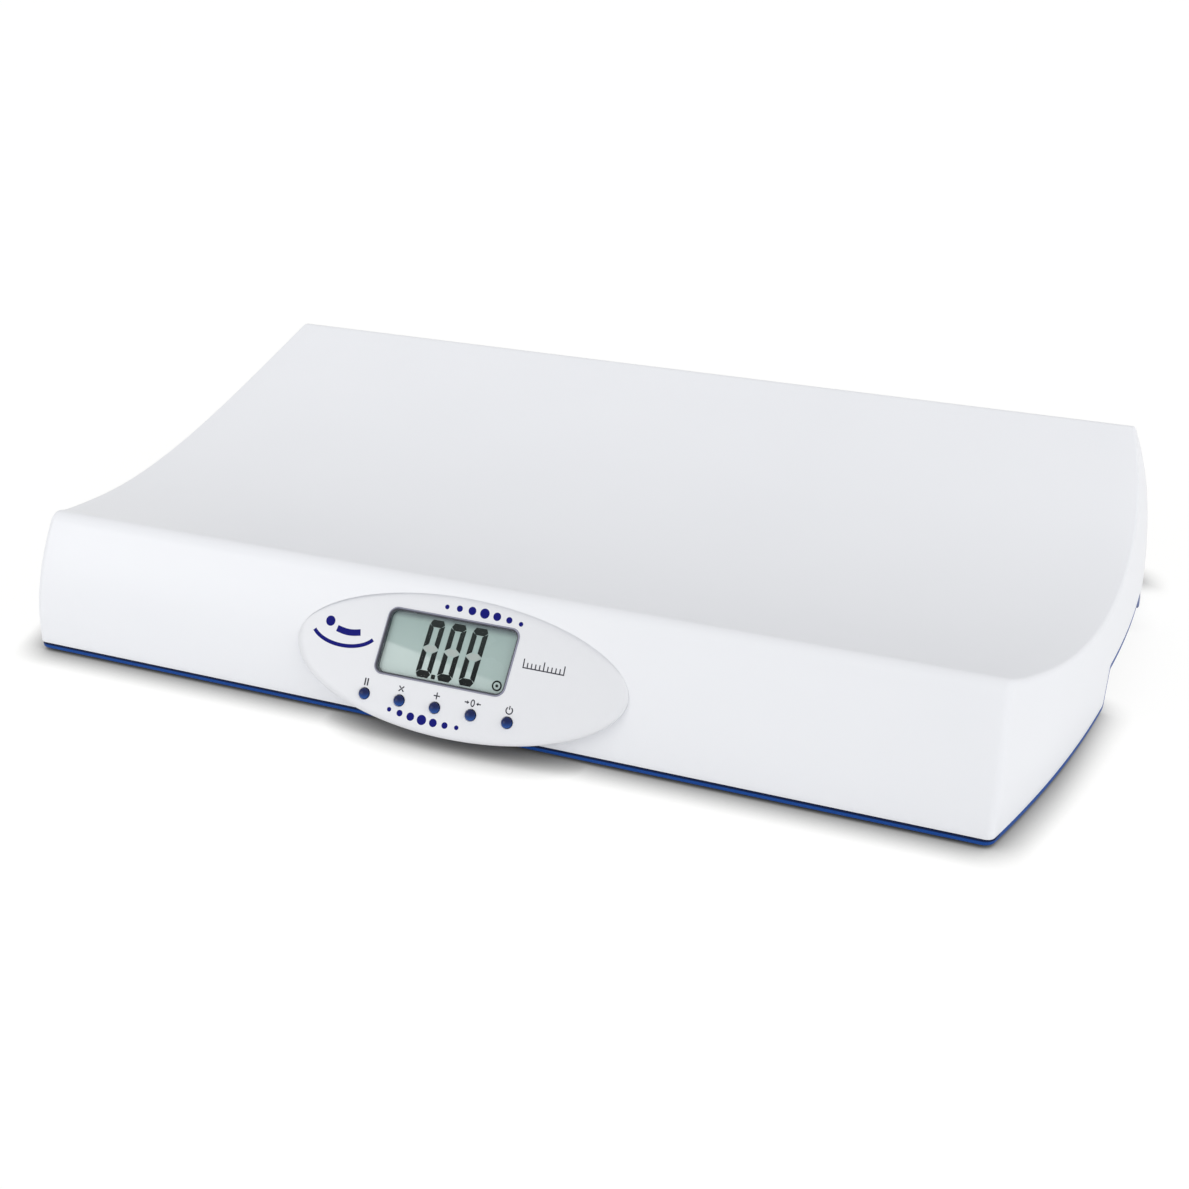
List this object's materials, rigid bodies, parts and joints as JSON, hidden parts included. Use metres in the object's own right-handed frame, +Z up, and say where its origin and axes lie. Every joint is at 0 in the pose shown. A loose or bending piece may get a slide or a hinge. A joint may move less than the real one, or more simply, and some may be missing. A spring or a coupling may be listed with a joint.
{
  "type": "digital baby weighing scale",
  "caption": "Digital baby weighing scale: dished white tray with bowed ends and hand grips over a shallow blue base, leaning oval display panel with sprung round keys, load cell feet.",
  "frame": {"origin": "centre of the bounding box in plan, on the floor under the rubber feet", "axes": "+X along the tray to the right of someone facing the display, +Y from the display side to the back, +Z up"},
  "size_m": [0.6026, 0.3592, 0.102],
  "materials": {
    "white_shell": "white moulded plastic, satin, very fine texture",
    "white_panel": "white moulded plastic, satin, smoother than the tray",
    "blue_base": "royal blue moulded plastic, satin",
    "key_blue": "dark blue domed keys, glossy",
    "display_frame": "dark grey frame, satin",
    "clear_window": "clear acrylic window",
    "display_glass": "grey-green liquid crystal glass with dark numerals",
    "inner_plastic": "natural moulded plastic",
    "black_rubber": "conductive rubber strip",
    "circuit_board": "green lacquered circuit board",
    "black_parts": "black moulded component bodies",
    "lead_sheath": "coloured lead sheath",
    "spring_steel": "nickel-plated spring steel",
    "cell_steel": "stamped steel",
    "screw_steel": "zinc-plated steel",
    "foot_plastic": "dark grey moulded plastic",
    "foot_rubber": "dark grey rubber, matt",
    "battery_jacket": "plain dark jacket"
  },
  "bodies": {
    "scale_body": {"tray_shell": "white_shell", "base_cover": "blue_base", "display_bezel": "white_panel", "lcd_gasket": "display_frame", "lcd_window": "clear_window", "lcd_panel": "display_glass", "lcd_holder": "inner_plastic", "lcd_connector": "black_rubber", "main_board": "circuit_board", "board_parts": "black_parts", "tact_switches": "black_parts", "board_screws": "screw_steel", "bezel_screws": "screw_steel", "load_cell_front_left": "cell_steel", "load_cell_front_right": "cell_steel", "load_cell_rear_left": "cell_steel", "load_cell_rear_right": "cell_steel", "foot_cap_front_left": "foot_plastic", "foot_cap_front_right": "foot_plastic", "foot_cap_rear_left": "foot_plastic", "foot_cap_rear_right": "foot_plastic", "foot_pad_front_left": "foot_rubber", "foot_pad_front_right": "foot_rubber", "foot_pad_rear_left": "foot_rubber", "foot_pad_rear_right": "foot_rubber", "cell_screws": "screw_steel", "cell_leads": "lead_sheath", "case_screws": "screw_steel", "battery_cell_1": "battery_jacket", "battery_cell_2": "battery_jacket", "battery_cell_3": "battery_jacket", "battery_cell_4": "battery_jacket", "battery_springs": "spring_steel", "battery_contacts": "spring_steel"},
    "button_hold": {"button_hold": "key_blue"},
    "button_memory_clear": {"button_memory_clear": "key_blue"},
    "button_memory_add": {"button_memory_add": "key_blue"},
    "button_tare": {"button_tare": "key_blue"},
    "button_power": {"button_power": "key_blue"},
    "battery_door": {"battery_door": "blue_base"}
  },
  "joints": [
    {"name": "button_hold_press", "type": "slide", "parent": "scale_body", "child": "button_hold", "axis": [0, 0.8572, -0.515], "range_m": [0, 0.0008], "stiffness_N_per_m": 600, "springref_m": -0.0004},
    {"name": "button_memory_clear_press", "type": "slide", "parent": "scale_body", "child": "button_memory_clear", "axis": [0, 0.8572, -0.515], "range_m": [0, 0.0008], "stiffness_N_per_m": 600, "springref_m": -0.0004},
    {"name": "button_memory_add_press", "type": "slide", "parent": "scale_body", "child": "button_memory_add", "axis": [0, 0.8572, -0.515], "range_m": [0, 0.0008], "stiffness_N_per_m": 600, "springref_m": -0.0004},
    {"name": "button_tare_press", "type": "slide", "parent": "scale_body", "child": "button_tare", "axis": [0, 0.8572, -0.515], "range_m": [0, 0.0008], "stiffness_N_per_m": 600, "springref_m": -0.0004},
    {"name": "button_power_press", "type": "slide", "parent": "scale_body", "child": "button_power", "axis": [0, 0.8572, -0.515], "range_m": [0, 0.0008], "stiffness_N_per_m": 600, "springref_m": -0.0004},
    {"name": "battery_door_turn", "type": "hinge", "parent": "scale_body", "child": "battery_door", "pos_m": [0.07, -0.00467, 0.002], "axis": [-1, 0, 0], "range_deg": [0, 60]}
  ]
}
